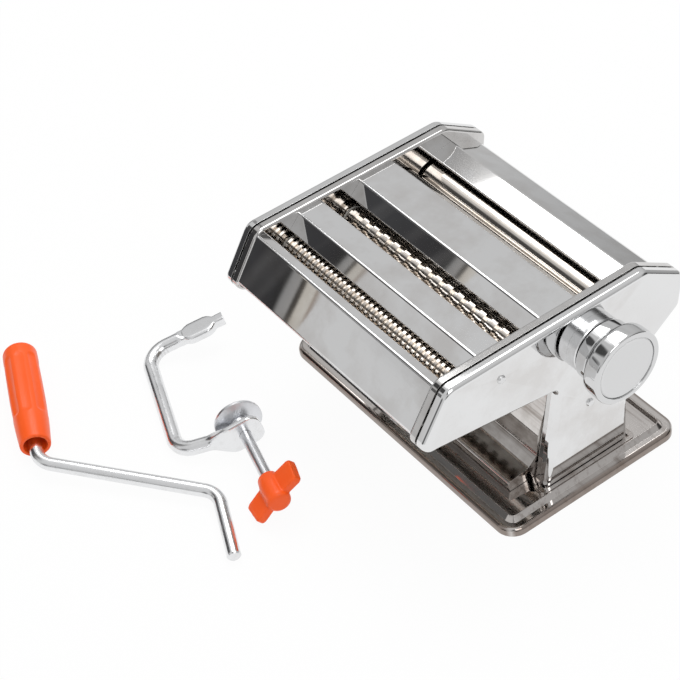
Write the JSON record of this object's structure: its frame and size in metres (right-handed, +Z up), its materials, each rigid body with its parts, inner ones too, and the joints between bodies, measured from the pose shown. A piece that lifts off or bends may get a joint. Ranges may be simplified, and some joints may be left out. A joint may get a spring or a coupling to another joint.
{
  "type": "hand cranked pasta machine",
  "caption": "Chromed hand cranked pasta machine with smooth, wide and fine roller stations, lying beside its loose crank and table clamp.",
  "frame": {"origin": "centre of the machine base's footprint, on the table", "axes": "+X along the rollers towards the thickness knob, -Y towards the side where cut pasta comes out, +Z up from the table"},
  "size_m": [0.3241, 0.3059, 0.1218],
  "materials": {
    "chromed_steel": "polished",
    "nickelled_roller": "ground and nickel plated",
    "orange_plastic": "moulded, semi gloss",
    "gear_steel": "machined, oiled",
    "white_acetal": "moulded",
    "zinc_plated_steel": "zinc plated, bright"
  },
  "bodies": {
    "housing": {"base_plate": "chromed_steel", "inner_plate_left": "chromed_steel", "inner_plate_right": "chromed_steel", "outer_panel_left": "chromed_steel", "outer_panel_right": "chromed_steel", "front_cover": "chromed_steel", "front_middle_cover": "chromed_steel", "rear_middle_cover": "chromed_steel", "rear_cover": "chromed_steel", "guide_chute": "chromed_steel", "rear_wall": "chromed_steel", "fine_comb_rear": "white_acetal", "fine_comb_front": "white_acetal", "wide_comb_rear": "white_acetal", "wide_comb_front": "white_acetal", "smooth_scraper_rear": "white_acetal", "tie_rods": "zinc_plated_steel", "tie_rod_nuts": "zinc_plated_steel", "panel_screws": "zinc_plated_steel", "leg_screws": "zinc_plated_steel", "roller_bushes_left": "white_acetal", "roller_bushes_right": "white_acetal", "guide_studs": "zinc_plated_steel", "regulator_bush": "zinc_plated_steel"},
    "smooth_rear": {"smooth_roller_rear": "nickelled_roller", "smooth_gear_rear": "gear_steel"},
    "yoke": {"yoke_plate_left": "zinc_plated_steel", "yoke_plate_right": "zinc_plated_steel", "yoke_bar": "zinc_plated_steel", "scroll_pin": "zinc_plated_steel"},
    "smooth_front": {"smooth_roller_front": "nickelled_roller", "smooth_gear_front": "gear_steel"},
    "fine_rear": {"fine_roller_rear": "nickelled_roller", "fine_gear_rear": "gear_steel"},
    "fine_front": {"fine_roller_front": "nickelled_roller", "fine_gear_front": "gear_steel"},
    "wide_rear": {"wide_roller_rear": "nickelled_roller", "wide_gear_rear": "gear_steel"},
    "wide_front": {"wide_roller_front": "nickelled_roller", "wide_gear_front": "gear_steel"},
    "regulator": {"regulator_shaft": "zinc_plated_steel", "scroll_disc": "zinc_plated_steel", "knob_keeper": "zinc_plated_steel"},
    "knob": {"knob_drum": "chromed_steel", "knob_cap": "chromed_steel", "index_nib": "zinc_plated_steel"},
    "crank": {"crank_rod": "zinc_plated_steel", "grip_clip": "zinc_plated_steel"},
    "grip": {"crank_grip": "orange_plastic"},
    "clamp": {"clamp_frame": "zinc_plated_steel"},
    "pad": {"clamp_pad": "zinc_plated_steel"},
    "screw": {"clamp_screw": "zinc_plated_steel", "clamp_wing_knob": "orange_plastic"}
  },
  "joints": [
    {"name": "smooth_rear_spin", "type": "hinge", "parent": "housing", "child": "smooth_rear", "pos_m": [0, 0.0345, 0.0925], "axis": [1, 0, 0], "continuous": true},
    {"name": "yoke_slide", "type": "slide", "parent": "housing", "child": "yoke", "axis": [0, -0.9659, 0.2588], "range_m": [0, 0.0024]},
    {"name": "smooth_front_spin", "type": "hinge", "parent": "yoke", "child": "smooth_front", "pos_m": [0, 0.011, 0.0988], "axis": [1, 0, 0], "continuous": true},
    {"name": "fine_rear_spin", "type": "hinge", "parent": "housing", "child": "fine_rear", "pos_m": [0, -0.066, 0.0995], "axis": [1, 0, 0], "continuous": true},
    {"name": "fine_front_spin", "type": "hinge", "parent": "housing", "child": "fine_front", "pos_m": [0, -0.083, 0.0995], "axis": [1, 0, 0], "continuous": true},
    {"name": "wide_rear_spin", "type": "hinge", "parent": "housing", "child": "wide_rear", "pos_m": [0, -0.0235, 0.0965], "axis": [1, 0, 0], "continuous": true},
    {"name": "wide_front_spin", "type": "hinge", "parent": "housing", "child": "wide_front", "pos_m": [0, -0.0405, 0.0965], "axis": [1, 0, 0], "continuous": true},
    {"name": "regulator_turn", "type": "hinge", "parent": "housing", "child": "regulator", "pos_m": [0, 0.0075, 0.0975], "axis": [1, 0, 0], "range_deg": [0, 288]},
    {"name": "knob_pull", "type": "slide", "parent": "regulator", "child": "knob", "axis": [1, 0, 0], "range_m": [0, 0.004], "stiffness_N_per_m": 800, "springref_m": -0.002},
    {"name": "crank_lift", "type": "slide", "parent": "housing", "child": "crank", "axis": [0, 0, 1], "range_m": [0, 0.1]},
    {"name": "grip_spin", "type": "hinge", "parent": "crank", "child": "grip", "pos_m": [-0.11561, -0.22902, 0.00883], "axis": [-0.9154, 0.3999, 0.0453], "continuous": true},
    {"name": "clamp_lift", "type": "slide", "parent": "housing", "child": "clamp", "axis": [0, 0, 1], "range_m": [0, 0.1]},
    {"name": "clamp_travel", "type": "slide", "parent": "clamp", "child": "pad", "axis": [-0.9635, 0.2668, -0.0239], "range_m": [0, 0.03]},
    {"name": "screw_turn", "type": "hinge", "parent": "pad", "child": "screw", "pos_m": [-0.05004, -0.12997, 0.01485], "axis": [-0.9635, 0.2668, -0.0239], "range_deg": [0, 5400.1]}
  ],
  "couplings": [
    {"joint": "smooth_front_spin", "follows": "smooth_rear_spin", "ratio": -1},
    {"joint": "fine_front_spin", "follows": "fine_rear_spin", "ratio": -1},
    {"joint": "wide_front_spin", "follows": "wide_rear_spin", "ratio": -1},
    {"joint": "regulator_turn", "follows": "yoke_slide", "rad_per_m": 2094.4},
    {"joint": "screw_turn", "follows": "clamp_travel", "rad_per_m": 3141.6}
  ]
}
